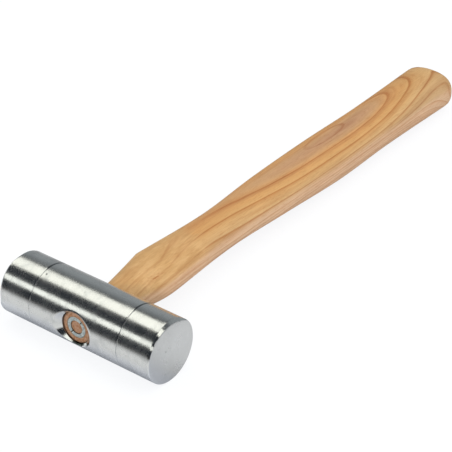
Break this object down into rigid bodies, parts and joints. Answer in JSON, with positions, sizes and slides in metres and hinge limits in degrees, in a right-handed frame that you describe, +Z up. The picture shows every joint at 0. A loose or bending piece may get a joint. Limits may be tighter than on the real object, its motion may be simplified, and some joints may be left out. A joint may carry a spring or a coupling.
{
  "type": "aluminium hammer",
  "caption": "Soft-faced aluminium hammer with a cylindrical head, screw-on striking faces and a shaped ash handle held by a ring wedge, lying on its side.",
  "frame": {"origin": "on the table under the middle of the part's bounding box", "axes": "+X along the handle from the head to the butt, +Y along the head towards the left striking face, +Z up from the table"},
  "size_m": [0.3434, 0.1, 0.035],
  "materials": {
    "ash_handle": "sanded ash with a thin clear varnish",
    "turned_aluminium": "fine turned satin",
    "wedge_steel": "bright drawn, dulled",
    "stud_steel": "plain rolled thread, lightly oiled"
  },
  "bodies": {
    "hammer": {"handle": "ash_handle", "ring_wedge": "wedge_steel", "head_body": "turned_aluminium", "left_face_stud": "stud_steel", "right_face_stud": "stud_steel"},
    "left_face": {"left_striking_face": "turned_aluminium"},
    "right_face": {"right_striking_face": "turned_aluminium"}
  },
  "joints": [
    {"name": "left_face_unscrews", "type": "slide", "parent": "hammer", "child": "left_face", "axis": [0, 1, 0], "range_m": [0, 0.016]},
    {"name": "right_face_unscrews", "type": "slide", "parent": "hammer", "child": "right_face", "axis": [0, -1, 0], "range_m": [0, 0.016]}
  ]
}
